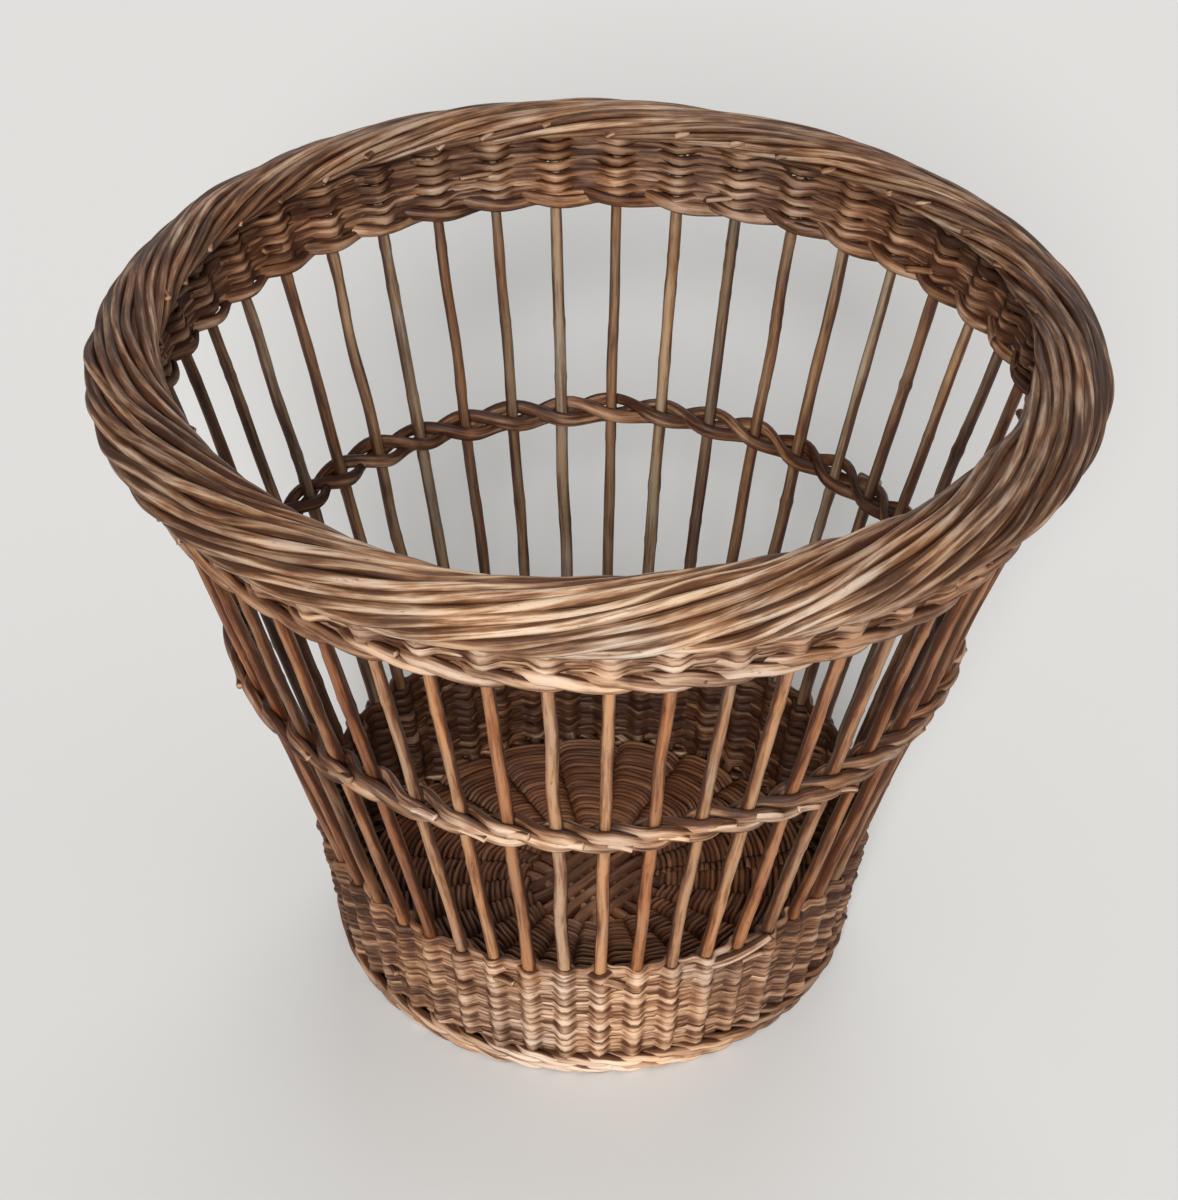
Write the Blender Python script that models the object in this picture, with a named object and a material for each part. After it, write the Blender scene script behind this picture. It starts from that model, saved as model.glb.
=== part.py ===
"""Openwork wicker waste basket in peeled and brown willow.

Forty-five upright stakes grow out of a round woven base. Two woven bands, two rounds of
three-rod waling and a thick laid border hold them. Units are metres, +Z is up, and the
origin lies on the floor under the middle of the basket.
"""
import math

import bmesh
import bpy
from mathutils import Matrix, Vector

# The basket as a whole
RIM_DIAMETER = 0.340
HEIGHT = 0.257
FOOT_RADIUS = 0.0895
WAIST_RADIUS = 0.0985
LOW_BAND_TOP = 0.056

# The upright stakes
STAKE_COUNT = 45
STAKE_DIAMETER = 0.0045
CROWDING_SHARE = 0.10
WIDEST_TURN = math.radians(90)
FIRST_TURN = math.radians(7.7)

# The two woven bands
BAND_WALL = 0.0024
FOOT_BEAD = 0.0016
FOOT_BEAD_HEIGHT = 0.0095
FOOT_TUCK = 0.0030

# The rounds of three-rod waling
WALE_ROD_DIAMETER = 0.0035
MID_WALE_SHARE = 0.52
UPPER_WALE_DROP = 0.0420
BUTT_GAP = 0.0008

# The laid border
BORDER_WIDTH = 0.0280
BORDER_THICKNESS = 0.0150
BORDER_TILT = math.radians(25)
BORDER_SET_IN = 0.0018
BORDER_LAY_DEPTH = 0.0012
BORDER_RODS_ACROSS = 10

# The base
BASE_LIFT = 0.0015
BASE_THICKNESS = 0.0105
STICK_DIAMETER = 0.0060
SLIT_STICKS = 6
THROUGH_STICKS = 5
STICK_PITCH_SHARE = 0.95
SHAVED_THICKNESS = 0.0026
SLATH_MARGIN = 0.0020
FAN_CLEAR_SHARE = 2.0
STICK_RECESS = 0.0012
LEG_WEB = 0.0010

# Clearances
CHANNEL_GAP = 0.0003
SEAT_GAP = 0.0003
CUT_OVERRUN = 0.0040

# Sizes that follow
STAKE_RADIUS = STAKE_DIAMETER / 2
WALE_ROD_RADIUS = WALE_ROD_DIAMETER / 2
STICK_RADIUS = STICK_DIAMETER / 2
BORDER_LONG = BORDER_WIDTH / 2
BORDER_SHORT = BORDER_THICKNESS / 2
TILT_COS = math.cos(BORDER_TILT)
TILT_SIN = math.sin(BORDER_TILT)
BORDER_HALF_OUT = math.hypot(BORDER_LONG * TILT_COS, BORDER_SHORT * TILT_SIN)
BORDER_HALF_UP = math.hypot(BORDER_LONG * TILT_SIN, BORDER_SHORT * TILT_COS)
BORDER_RADIUS = RIM_DIAMETER / 2 - BORDER_HALF_OUT
BORDER_HEIGHT = HEIGHT - BORDER_HALF_UP
UPPER_WALE_BOTTOM = HEIGHT - UPPER_WALE_DROP
MID_WALE_HEIGHT = LOW_BAND_TOP + (UPPER_WALE_BOTTOM - LOW_BAND_TOP) * MID_WALE_SHARE
FLARE = (BORDER_RADIUS + BORDER_SET_IN - WAIST_RADIUS) / (BORDER_HEIGHT - LOW_BAND_TOP)
STAKE_HALF_DEPTH = STAKE_RADIUS * math.hypot(1, FLARE)
BAND_HALF_DEPTH = STAKE_HALF_DEPTH + CHANNEL_GAP + BAND_WALL
BASE_MIDDLE = BASE_LIFT + BASE_THICKNESS / 2
STICK_PITCH = STICK_DIAMETER * STICK_PITCH_SHARE
STICK_ENDS = 2 * (SLIT_STICKS + THROUGH_STICKS)
LEG_FLANK = STICK_RADIUS + STAKE_RADIUS + CHANNEL_GAP


def remove_everything():
    for obj in list(bpy.data.objects):
        bpy.data.objects.remove(obj, do_unlink=True)


def new_collection(name):
    collection = bpy.data.collections.new(name)
    bpy.context.scene.collection.children.link(collection)
    return collection


def make_material(name, colour, roughness):
    """A plain willow finish: one colour, matt to silky."""
    material = bpy.data.materials.new(name)
    material.use_nodes = True
    shader = material.node_tree.nodes["Principled BSDF"]
    shader.inputs["Base Color"].default_value = (*colour, 1)
    shader.inputs["Roughness"].default_value = roughness
    shader.inputs["Metallic"].default_value = 0
    return material


def stake_turn(index):
    """Angle of the stake with this number, which need not be whole.

    The stakes stand a little closer at the front than at the back.
    """
    turn = FIRST_TURN + 2 * math.pi * index / STAKE_COUNT
    return turn + CROWDING_SHARE * math.sin(turn - WIDEST_TURN)


def closest_angle():
    """Angle between the two stakes that stand closest."""
    return 2 * math.pi / STAKE_COUNT * (1 - CROWDING_SHARE)


def wall_radius(height):
    """Distance of the stakes' centre line from the basket's axis."""
    if height <= LOW_BAND_TOP:
        return FOOT_RADIUS + (WAIST_RADIUS - FOOT_RADIUS) * height / LOW_BAND_TOP
    return WAIST_RADIUS + FLARE * (height - LOW_BAND_TOP)


def under_border(offset, gap):
    """Height at which the wall, moved out by offset, comes within gap of the border's seat.

    The seat is the straight line that touches the border's oval section from below, along
    its long axis.
    """
    across = WAIST_RADIUS + offset - BORDER_RADIUS
    below = LOW_BAND_TOP - BORDER_HEIGHT
    reach = -(BORDER_SHORT + gap) - across * TILT_SIN - below * TILT_COS
    return LOW_BAND_TOP + reach / (FLARE * TILT_SIN + TILT_COS)


def polar(turn, radius, height):
    return Vector((radius * math.cos(turn), radius * math.sin(turn), height))


def tube_curve(name, paths, radius, collection):
    """One curve object with a round rod along each path of points, six-sided and capped."""
    curve = bpy.data.curves.new(name, "CURVE")
    curve.dimensions = "3D"
    curve.bevel_depth = radius
    curve.bevel_resolution = 1
    curve.use_fill_caps = True
    for path in paths:
        spline = curve.splines.new("POLY")
        spline.points.add(len(path) - 1)
        for point, place in zip(spline.points, path):
            point.co = (*place, 1)
    obj = bpy.data.objects.new(name, curve)
    collection.objects.link(obj)
    return obj


def to_mesh(curve_object):
    """Turn a curve object into a mesh object of the same name, with its caps welded on."""
    bpy.context.view_layer.update()
    evaluated = curve_object.evaluated_get(bpy.context.evaluated_depsgraph_get())
    mesh = bpy.data.meshes.new_from_object(evaluated)
    welder = bmesh.new()
    welder.from_mesh(mesh)
    bmesh.ops.remove_doubles(welder, verts=welder.verts, dist=SEAT_GAP / 100)
    welder.to_mesh(mesh)
    welder.free()
    name = curve_object.name
    collection = curve_object.users_collection[0]
    obj = bpy.data.objects.new(name, mesh)
    obj.matrix_world = curve_object.matrix_world
    bpy.data.objects.remove(curve_object, do_unlink=True)
    obj.name = name
    collection.objects.link(obj)
    return obj


def turned_ring(name, profile, collection):
    """Turn a closed outline round the axis, with one flat between each two stakes.

    The outline is spun evenly, and its copies are then moved to stand midway between stakes.
    """
    spinner = bmesh.new()
    corners = [spinner.verts.new((radius, 0, height)) for radius, height in profile]
    sides = [spinner.edges.new((a, b)) for a, b in zip(corners, corners[1:] + corners[:1])]
    bmesh.ops.spin(
        spinner,
        geom=corners + sides,
        axis=(0, 0, 1),
        cent=(0, 0, 0),
        steps=STAKE_COUNT,
        angle=2 * math.pi,
        use_merge=True,
    )
    for vert in spinner.verts:
        index = math.atan2(vert.co.y, vert.co.x) / (2 * math.pi) * STAKE_COUNT
        vert.co = polar(stake_turn(round(index) + 0.5), math.hypot(vert.co.x, vert.co.y), vert.co.z)
    bmesh.ops.recalc_face_normals(spinner, faces=spinner.faces)
    mesh = bpy.data.meshes.new(name)
    spinner.to_mesh(mesh)
    spinner.free()
    obj = bpy.data.objects.new(name, mesh)
    collection.objects.link(obj)
    return obj


def hide_cutter(obj):
    obj.hide_render = True
    obj.display_type = "WIRE"


def combine(obj, other, operation):
    """Boolean with the exact solver, which also takes a cutter whose rods cross each other."""
    hide_cutter(other)
    boolean = obj.modifiers.new(other.name, "BOOLEAN")
    boolean.object = other
    boolean.operation = operation
    boolean.solver = "EXACT"
    boolean.use_self = True


def slath_frame():
    """Directions of the slit sticks and of the sticks through them, square to each other."""
    first = stake_turn(SLIT_STICKS - 0.5)
    along = Vector((math.cos(first), math.sin(first), 0))
    return along, Vector((-along.y, along.x, 0))


def stick_reach():
    return wall_radius(BASE_MIDDLE) - BAND_HALF_DEPTH - SEAT_GAP - STICK_RECESS


def stick_number(end):
    """Set, stick and side of a stick end. The ends are counted round the base."""
    half_round = SLIT_STICKS + THROUGH_STICKS
    side = 1 if end < half_round else -1
    number = end % half_round
    slit = number < SLIT_STICKS
    stick = number if slit else number - SLIT_STICKS
    return slit, stick, side


def stick_bend(end):
    """Point beside the middle cross where a stick leaves its set and starts to fan out."""
    along, across = slath_frame()
    slit, stick, side = stick_number(end)
    if slit:
        half = THROUGH_STICKS * STICK_PITCH / 2 + SLATH_MARGIN
        beside = (stick - (SLIT_STICKS - 1) / 2) * STICK_PITCH
        place = along * half + across * beside
    else:
        half = SLIT_STICKS * STICK_PITCH / 2 + STICK_RADIUS + SLATH_MARGIN
        beside = (stick - (THROUGH_STICKS - 1) / 2) * STICK_PITCH
        place = across * half - along * beside
    return place * side


def stick_tip(end):
    """Outer end of a stick, between its two stakes."""
    return polar(stake_turn(2 * end + 0.5), stick_reach(), 0)


def stick_path(end, extra):
    """The fanned-out stretch of a stick, from its bend to its tip and a little beyond."""
    bend = stick_bend(end)
    tip = stick_tip(end)
    floor = Vector((0, 0, BASE_MIDDLE))
    return [floor + bend, floor + tip + (tip - bend).normalized() * extra]


def leg_line(stake):
    """Start, direction and side of the stick end that a stake's leg lies along.

    Two stakes flank each stick end. A stake past the last pair stands alone and points at
    the middle.
    """
    end = stake // 2
    if end < STICK_ENDS:
        tip = stick_tip(end)
        return tip, (tip - stick_bend(end)).normalized(), 2 * (stake % 2) - 1
    tip = polar(stake_turn(stake), stick_reach(), 0)
    return tip, tip.normalized(), 0


def leg_reach():
    """Radius at which the legs end: their slots leave a web of the weave between them here."""
    room = 2 * LEG_FLANK + STAKE_DIAMETER + 2 * CHANNEL_GAP + LEG_WEB
    return room / (2 * math.sin(closest_angle()))


def stake_path(stake, leg_extra, top_gap):
    """Leg in the base, bend inside the low band, then straight up to the border."""
    tip, along, side = leg_line(stake)
    line = Vector((0, 0, BASE_MIDDLE)) + tip + Vector((-along.y, along.x, 0)) * side * LEG_FLANK
    turn = stake_turn(stake)
    bend_start = wall_radius(BASE_MIDDLE) - BAND_HALF_DEPTH
    bend_top = BASE_MIDDLE + BAND_HALF_DEPTH
    top = under_border(0, top_gap)
    return [
        line - along * (stick_reach() - leg_reach() + leg_extra),
        line + along * (bend_start - stick_reach()),
        polar(turn, wall_radius(bend_top), bend_top),
        polar(turn, WAIST_RADIUS, LOW_BAND_TOP),
        polar(turn, wall_radius(top), top),
    ]


def make_stakes(collection, materials):
    tilt_room = STAKE_RADIUS * abs(math.tan(BORDER_TILT) - FLARE)
    for stake in range(STAKE_COUNT):
        path = stake_path(stake, 0, SEAT_GAP + tilt_room)
        name = "stake_%02d" % (stake + 1)
        obj = tube_curve(name, [path], STAKE_RADIUS, collection)
        obj.data.materials.append(materials[stake % len(materials)])


def make_stake_channels(cutters):
    paths = [stake_path(stake, CHANNEL_GAP, -CUT_OVERRUN) for stake in range(STAKE_COUNT)]
    channels = to_mesh(tube_curve("stake_channels", paths, STAKE_RADIUS + CHANNEL_GAP, cutters))
    hide_cutter(channels)
    return channels


def make_low_band(collection, channels, material):
    """Solid weave from the floor to the waist, with a rounder last round at the foot."""
    foot_outside = FOOT_RADIUS + BAND_HALF_DEPTH
    bead_outside = wall_radius(FOOT_BEAD_HEIGHT) + BAND_HALF_DEPTH
    profile = [
        (WAIST_RADIUS + BAND_HALF_DEPTH, LOW_BAND_TOP),
        (bead_outside, FOOT_BEAD_HEIGHT),
        (foot_outside + FOOT_BEAD, FOOT_BEAD_HEIGHT / 2),
        (foot_outside - FOOT_TUCK, 0),
        (FOOT_RADIUS - BAND_HALF_DEPTH, 0),
        (WAIST_RADIUS - BAND_HALF_DEPTH, LOW_BAND_TOP),
    ]
    band = turned_ring("low_band", profile, collection)
    band.data.materials.append(material)
    combine(band, channels, "DIFFERENCE")


def wale_sizes(radius):
    """Offset from the stakes' line and rise of a waling rod where the stakes stand closest."""
    gap = 2 * radius * math.sin(closest_angle() / 2)
    touch = STAKE_HALF_DEPTH + WALE_ROD_RADIUS + CHANNEL_GAP
    offset = touch / math.sqrt(1 - (2 * touch / gap) ** 2)
    cross = WALE_ROD_DIAMETER + SEAT_GAP
    rise = cross / math.sqrt(1 - (cross / gap) ** 2)
    return offset, rise


def wale_half_height(radius):
    return wale_sizes(radius)[1] + WALE_ROD_RADIUS


def make_wale(name, height, collection, material):
    """One round of waling: each rod passes in front of two stakes and behind the third.

    A rod comes out from behind a stake, lies high on the next one and low on the one after,
    and goes in again under the rod that comes out. Its ends butt behind one stake.
    """
    offset, rise = wale_sizes(wall_radius(height))
    butt_turn = BUTT_GAP / wall_radius(height) / 2
    strokes = STAKE_COUNT // 3
    places = [(-offset, 0), (offset, rise), (offset, -rise)]
    for rod in range(3):
        path = []
        for step in range(3 * strokes + 1):
            out, up = places[step % 3]
            turn = stake_turn(rod + step)
            if step == 0:
                turn += butt_turn
            if step == 3 * strokes:
                turn -= butt_turn
            path.append(polar(turn, wall_radius(height + up) + out, height + up))
        obj = tube_curve("%s_%s" % (name, "abc"[rod]), [path], WALE_ROD_RADIUS, collection)
        obj.data.materials.append(material)


def make_upper_band(bottom, collection, channels, material):
    """Solid weave from the upper waling to the border, its top edge sloped like the border."""
    outer_top = under_border(BAND_HALF_DEPTH, SEAT_GAP)
    inner_top = under_border(-BAND_HALF_DEPTH, SEAT_GAP)
    profile = [
        (wall_radius(outer_top) + BAND_HALF_DEPTH, outer_top),
        (wall_radius(bottom) + BAND_HALF_DEPTH, bottom),
        (wall_radius(bottom) - BAND_HALF_DEPTH, bottom),
        (wall_radius(inner_top) - BAND_HALF_DEPTH, inner_top),
    ]
    band = turned_ring("upper_band", profile, collection)
    band.data.materials.append(material)
    combine(band, channels, "DIFFERENCE")


def border_point(column, row):
    """Point of the border's surface: an oval section whose rods turn by one a stake.

    Even rows are the crowns of the laid rods and odd rows the valleys between them.
    """
    turn = stake_turn(column + 0.5)
    lay = (row / 2 + column) / BORDER_RODS_ACROSS
    depth = BORDER_LAY_DEPTH if row % 2 else 0
    long = (BORDER_LONG - depth) * math.cos(2 * math.pi * lay)
    short = (BORDER_SHORT - depth) * math.sin(2 * math.pi * lay)
    out = long * TILT_COS + short * TILT_SIN
    up = short * TILT_COS - long * TILT_SIN
    return polar(turn, BORDER_RADIUS + out, BORDER_HEIGHT + up)


def make_border(collection, material):
    """The laid border: rods that climb from the outside over the top to the inside."""
    mesh = bpy.data.meshes.new("border")
    rows = 2 * BORDER_RODS_ACROSS
    shift = 2 * STAKE_COUNT
    loft = bmesh.new()
    grid = [[loft.verts.new(border_point(c, r)) for r in range(rows)] for c in range(STAKE_COUNT)]
    for column in range(STAKE_COUNT):
        here = grid[column]
        there = grid[(column + 1) % STAKE_COUNT]
        skew = shift if column == STAKE_COUNT - 1 else 0
        for row in range(rows):
            after = row + 1
            loft.faces.new((
                here[row],
                there[(row + skew) % rows],
                there[(after + skew) % rows],
                here[after % rows],
            ))
    loft.to_mesh(mesh)
    loft.free()
    mesh.materials.append(material)
    mesh.shade_smooth()
    border = bpy.data.objects.new("border", mesh)
    collection.objects.link(border)


def block(name, places, long, wide, high, collection):
    """Flat blocks in the base's middle plane, one for each centre and direction in places."""
    maker = bmesh.new()
    for centre, along in places:
        across = Vector((-along.y, along.x, 0))
        cube = bmesh.ops.create_cube(maker, size=1)
        for vert in cube["verts"]:
            place = centre + along * vert.co.x * long + across * vert.co.y * wide
            vert.co = place + Vector((0, 0, BASE_MIDDLE + vert.co.z * high))
    mesh = bpy.data.meshes.new(name)
    maker.to_mesh(mesh)
    maker.free()
    obj = bpy.data.objects.new(name, mesh)
    collection.objects.link(obj)
    return obj


def fuse(name, pieces, material):
    """Join meshes that lie against each other into one body, named for the set."""
    first = pieces[0]
    first.name = name
    first.data.materials.append(material)
    for piece in pieces[1:]:
        combine(first, piece, "UNION")
    return first


def make_slit_sticks(collection, cutters, material):
    """Sticks side by side, slit in the middle, with their ends fanned out."""
    pieces = []
    for stick in range(SLIT_STICKS):
        home = cutters if pieces else collection
        far = THROUGH_STICKS + 2 * SLIT_STICKS - 1 - stick
        path = stick_path(stick, 0)[::-1] + stick_path(far, 0)
        name = "slit_stick_%d" % (stick + 1)
        pieces.append(to_mesh(tube_curve(name, [path], STICK_RADIUS, home)))
    sticks = fuse("slit_sticks", pieces, material)
    slot_long = SLIT_STICKS * STICK_PITCH + STICK_DIAMETER + 2 * CUT_OVERRUN
    slot_wide = THROUGH_STICKS * STICK_PITCH + 2 * CHANNEL_GAP
    middle = [(Vector((0, 0, 0)), slath_frame()[1])]
    slot = block("slit", middle, slot_long, slot_wide, SHAVED_THICKNESS + 2 * CHANNEL_GAP, cutters)
    combine(sticks, slot, "DIFFERENCE")


def make_through_sticks(collection, cutters, material):
    """Sticks shaved thin in the middle, where they lie in the slit ones."""
    tongue_long = SLIT_STICKS * STICK_PITCH + STICK_DIAMETER + 2 * SLATH_MARGIN
    middle = [(Vector((0, 0, 0)), slath_frame()[1])]
    tongue_wide = THROUGH_STICKS * STICK_PITCH
    pieces = [block("tongue", middle, tongue_long, tongue_wide, SHAVED_THICKNESS, collection)]
    for end in range(STICK_ENDS):
        if not stick_number(end)[0]:
            name = "through_stick_%d" % (end + 1)
            pieces.append(to_mesh(tube_curve(name, [stick_path(end, 0)], STICK_RADIUS, cutters)))
    fuse("through_sticks", pieces, material)


def make_leg_slots(cutters):
    """Slots in the base's edge, each for one stick end and the two legs pushed in beside it."""
    inner = leg_reach() - CHANNEL_GAP
    outer = wall_radius(BASE_MIDDLE)
    places = []
    for stake in range(0, 2 * STICK_ENDS, 2):
        tip, along = leg_line(stake)[:2]
        places.append((tip + along * ((inner + outer) / 2 - stick_reach()), along))
    wide = 2 * (LEG_FLANK + STAKE_RADIUS + CHANNEL_GAP)
    high = max(STICK_DIAMETER, STAKE_DIAMETER) + 2 * CHANNEL_GAP
    return block("leg_slots", places, outer - inner, wide, high, cutters)


def make_slath_well(radius, cutters):
    """Low round hollow in the weave's middle, where the sticks lie too close for tunnels."""
    maker = bmesh.new()
    bmesh.ops.create_cone(
        maker,
        cap_ends=True,
        segments=STAKE_COUNT,
        radius1=radius,
        radius2=radius,
        depth=STICK_DIAMETER + 2 * CHANNEL_GAP,
        matrix=Matrix.Translation((0, 0, BASE_MIDDLE)),
    )
    mesh = bpy.data.meshes.new("slath_well")
    maker.to_mesh(mesh)
    maker.free()
    well = bpy.data.objects.new("slath_well", mesh)
    cutters.objects.link(well)
    return well


def make_base_weave(collection, cutters, material):
    """The woven part of the base: a flat ring with a tunnel for each stick and its legs."""
    half_slath = math.hypot(SLIT_STICKS * STICK_PITCH, THROUGH_STICKS * STICK_PITCH) / 2
    inside = half_slath + STICK_RADIUS + SLATH_MARGIN
    fanned_out = half_slath + STICK_DIAMETER * FAN_CLEAR_SHARE
    top = BASE_LIFT + BASE_THICKNESS
    reach = BAND_HALF_DEPTH + SEAT_GAP
    profile = [
        (wall_radius(top) - reach, top),
        (wall_radius(BASE_LIFT) - reach, BASE_LIFT),
        (inside, BASE_LIFT),
        (inside, top),
    ]
    weave = turned_ring("base_weave", profile, collection)
    weave.data.materials.append(material)
    tunnels = [stick_path(end, CHANNEL_GAP) for end in range(STICK_ENDS)]
    cutter = to_mesh(tube_curve("stick_tunnels", tunnels, STICK_RADIUS + CHANNEL_GAP, cutters))
    lone = [stake_path(stake, CHANNEL_GAP, 0) for stake in range(2 * STICK_ENDS, STAKE_COUNT)]
    lone_channels = tube_curve("lone_channels", lone, STAKE_RADIUS + CHANNEL_GAP, cutters)
    combine(weave, make_slath_well(fanned_out, cutters), "DIFFERENCE")
    combine(weave, cutter, "DIFFERENCE")
    combine(weave, make_leg_slots(cutters), "DIFFERENCE")
    combine(weave, to_mesh(lone_channels), "DIFFERENCE")


def build():
    remove_everything()
    basket = new_collection("wicker_waste_basket")
    cutters = new_collection("cutters")
    tan = make_material("willow_tan", (0.42, 0.27, 0.16), 0.55)
    brown = make_material("willow_brown", (0.30, 0.17, 0.10), 0.60)
    grey = make_material("willow_grey", (0.38, 0.29, 0.21), 0.60)
    weave = make_material("band_weave", (0.34, 0.21, 0.13), 0.60)
    pale = make_material("border_rods", (0.45, 0.31, 0.19), 0.50)
    floor = make_material("base_willow", (0.16, 0.10, 0.07), 0.70)
    channels = make_stake_channels(cutters)
    make_stakes(basket, [tan, brown, grey])
    make_slit_sticks(basket, cutters, floor)
    make_through_sticks(basket, cutters, floor)
    make_base_weave(basket, cutters, floor)
    make_low_band(basket, channels, weave)
    make_wale("mid_wale", MID_WALE_HEIGHT, basket, pale)
    upper_half = wale_half_height(wall_radius(UPPER_WALE_BOTTOM))
    make_wale("upper_wale", UPPER_WALE_BOTTOM + upper_half, basket, pale)
    make_upper_band(UPPER_WALE_BOTTOM + 2 * upper_half + SEAT_GAP, basket, channels, weave)
    make_border(basket, pale)


build()
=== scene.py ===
"""Openwork waste basket of browned willow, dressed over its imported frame.

The sections follow the basket as it is woven: bottom sticks, floor, stakes, foot and low band,
middle waling, upper band, border, and then the studio. Units are metres, +Z is up, and the
basket's front faces -Y.
"""
import math

import bpy
import numpy as np
from mathutils import Matrix, Vector


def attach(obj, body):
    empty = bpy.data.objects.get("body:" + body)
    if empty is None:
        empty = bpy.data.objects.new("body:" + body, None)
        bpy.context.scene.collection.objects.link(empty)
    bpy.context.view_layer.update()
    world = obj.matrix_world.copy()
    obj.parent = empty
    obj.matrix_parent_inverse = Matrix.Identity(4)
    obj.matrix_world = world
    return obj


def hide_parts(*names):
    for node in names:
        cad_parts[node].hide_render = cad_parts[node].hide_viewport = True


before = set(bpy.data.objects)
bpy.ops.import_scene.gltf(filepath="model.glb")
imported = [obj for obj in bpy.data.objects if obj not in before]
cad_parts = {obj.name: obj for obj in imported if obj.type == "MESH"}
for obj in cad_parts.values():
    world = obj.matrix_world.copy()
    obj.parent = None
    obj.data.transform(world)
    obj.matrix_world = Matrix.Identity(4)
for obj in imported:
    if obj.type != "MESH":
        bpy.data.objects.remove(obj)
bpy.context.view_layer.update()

# Bottom sticks. Eleven thick rods of dark willow make a cross: six are slit in the middle and
# five, shaved thin there, go through them. Their ends fan out like spokes between the stakes.

STAKES = 45
FIRST_TURN = math.radians(7.7)
CROWDING = 0.10
BASE_MIDDLE = 0.00675
SLIT_STICKS = 6
THROUGH_STICKS = 5
STICK_ENDS = 2 * (SLIT_STICKS + THROUGH_STICKS)
STICK_THICKNESS = 0.0060
STICK_PITCH = 0.0057
STICK_REACH = 0.0840
STICK_POINTS = 90
STICK_EASE = 8
STICK_UNEVEN = 0.04
SHAVED_OFF = 0.35
SLATH_MARGIN = 0.0020
SLATH_RADIUS = 0.017
SLATH_EDGE = 6


def stake_turn(index):
    """Angle of a stake: even steps round the basket plus a sine that crowds the front ones."""
    turn = FIRST_TURN + 2 * np.pi * np.asarray(index, float) / STAKES
    return turn + CROWDING * np.sin(turn - np.pi / 2)


def ringed(turn, radius, height):
    """Points at an angle round the axis, a distance from it and a height."""
    turn, radius, height = np.broadcast_arrays(turn, radius, height)
    return np.stack([radius * np.cos(turn), radius * np.sin(turn), height], -1)


def softly_bent(corners, count, rounds):
    """Even points along straight runs between corners, eased by averaging each with its
    neighbours a number of rounds."""
    corners = np.asarray(corners, float)
    length = np.r_[0, np.cumsum(np.linalg.norm(np.diff(corners, axis=0), axis=1))]
    at = np.linspace(0, length[-1], count)
    path = np.stack([np.interp(at, length, corners[:, axis]) for axis in range(3)], -1)
    for _ in range(rounds):
        path[1:-1] = (path[:-2] + 2 * path[1:-1] + path[2:]) / 4
    return path


def wander(rng, count, points, waves):
    """Waviness along each of several rods: a sum of sines with random phases and sizes."""
    share = np.linspace(0, 1, points)
    order = np.arange(1, waves + 1)[:, None]
    phase = rng.uniform(0, 2 * np.pi, (count, waves, 1))
    size = rng.normal(0, 1, (count, waves, 1)) / math.sqrt(waves)
    return (size * np.sin(2 * np.pi * order * share + phase)).sum(1)


def willow_piece(name, corners, faces, marks, finish):
    """A smooth willow mesh of corners and faces. A mark is one number or three at every corner,
    which the finish reads by the mark's name."""
    mesh = bpy.data.meshes.new(name)
    mesh.from_pydata(corners.tolist(), [], faces)
    for mark, values in marks.items():
        kind, field = ("FLOAT_VECTOR", "vector") if values.ndim == 2 else ("FLOAT", "value")
        mesh.attributes.new(mark, kind, "POINT").data.foreach_set(field, values.ravel())
    mesh.shade_smooth()
    mesh.materials.append(finish)
    piece = bpy.data.objects.new(name, mesh)
    bpy.context.scene.collection.objects.link(piece)
    return piece


# Wear and light. These numbers set how pale each corner of a rod is: real wear on its outer face and
# pale cut ends, grime and painted shade on its flanks and in the grooves of the weave, and painted
# light, paler at the basket's front and back than at its sides and with a paler tone at the front.
CUT_FACE = 1.2  # how much more worn the middle of a cut end counts than its rim
HIDDEN_FACE = 0.32  # the least wear and light on a rod that is rubbed on one face only, so how dark its other face is
SIDE_PAINTED_LIGHT = 0.72  # painted light: how much of the wear and light is kept at the basket's sides, the darkest
FRONT_AND_BACK_PAINTED_LIGHT = 0.28  # how much more painted light than there at its front and back
BACK_PAINTED_LIGHT_LOSS = 0.10  # how much less painted light at the back than at the front
CHANCE_TONE = 0.47  # the part of a rod's tone that is chance
FRONT_PAINTED_LIGHT = 0.53  # the part that is painted light, which makes the front paler
FRONT_LIGHT_NARROWNESS = 16
INSIDE_TURN = 0.9  # how soon a rod's skin turns from its outer side to its inner one
FIBRES_ALONG = 3  # how far each rod's fibres are moved by chance, so that no two are alike
FIBRES_ACROSS = 1
AXIS_CLEAR = 0.001  # so that nothing is divided by zero where a rod crosses the axis


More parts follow.
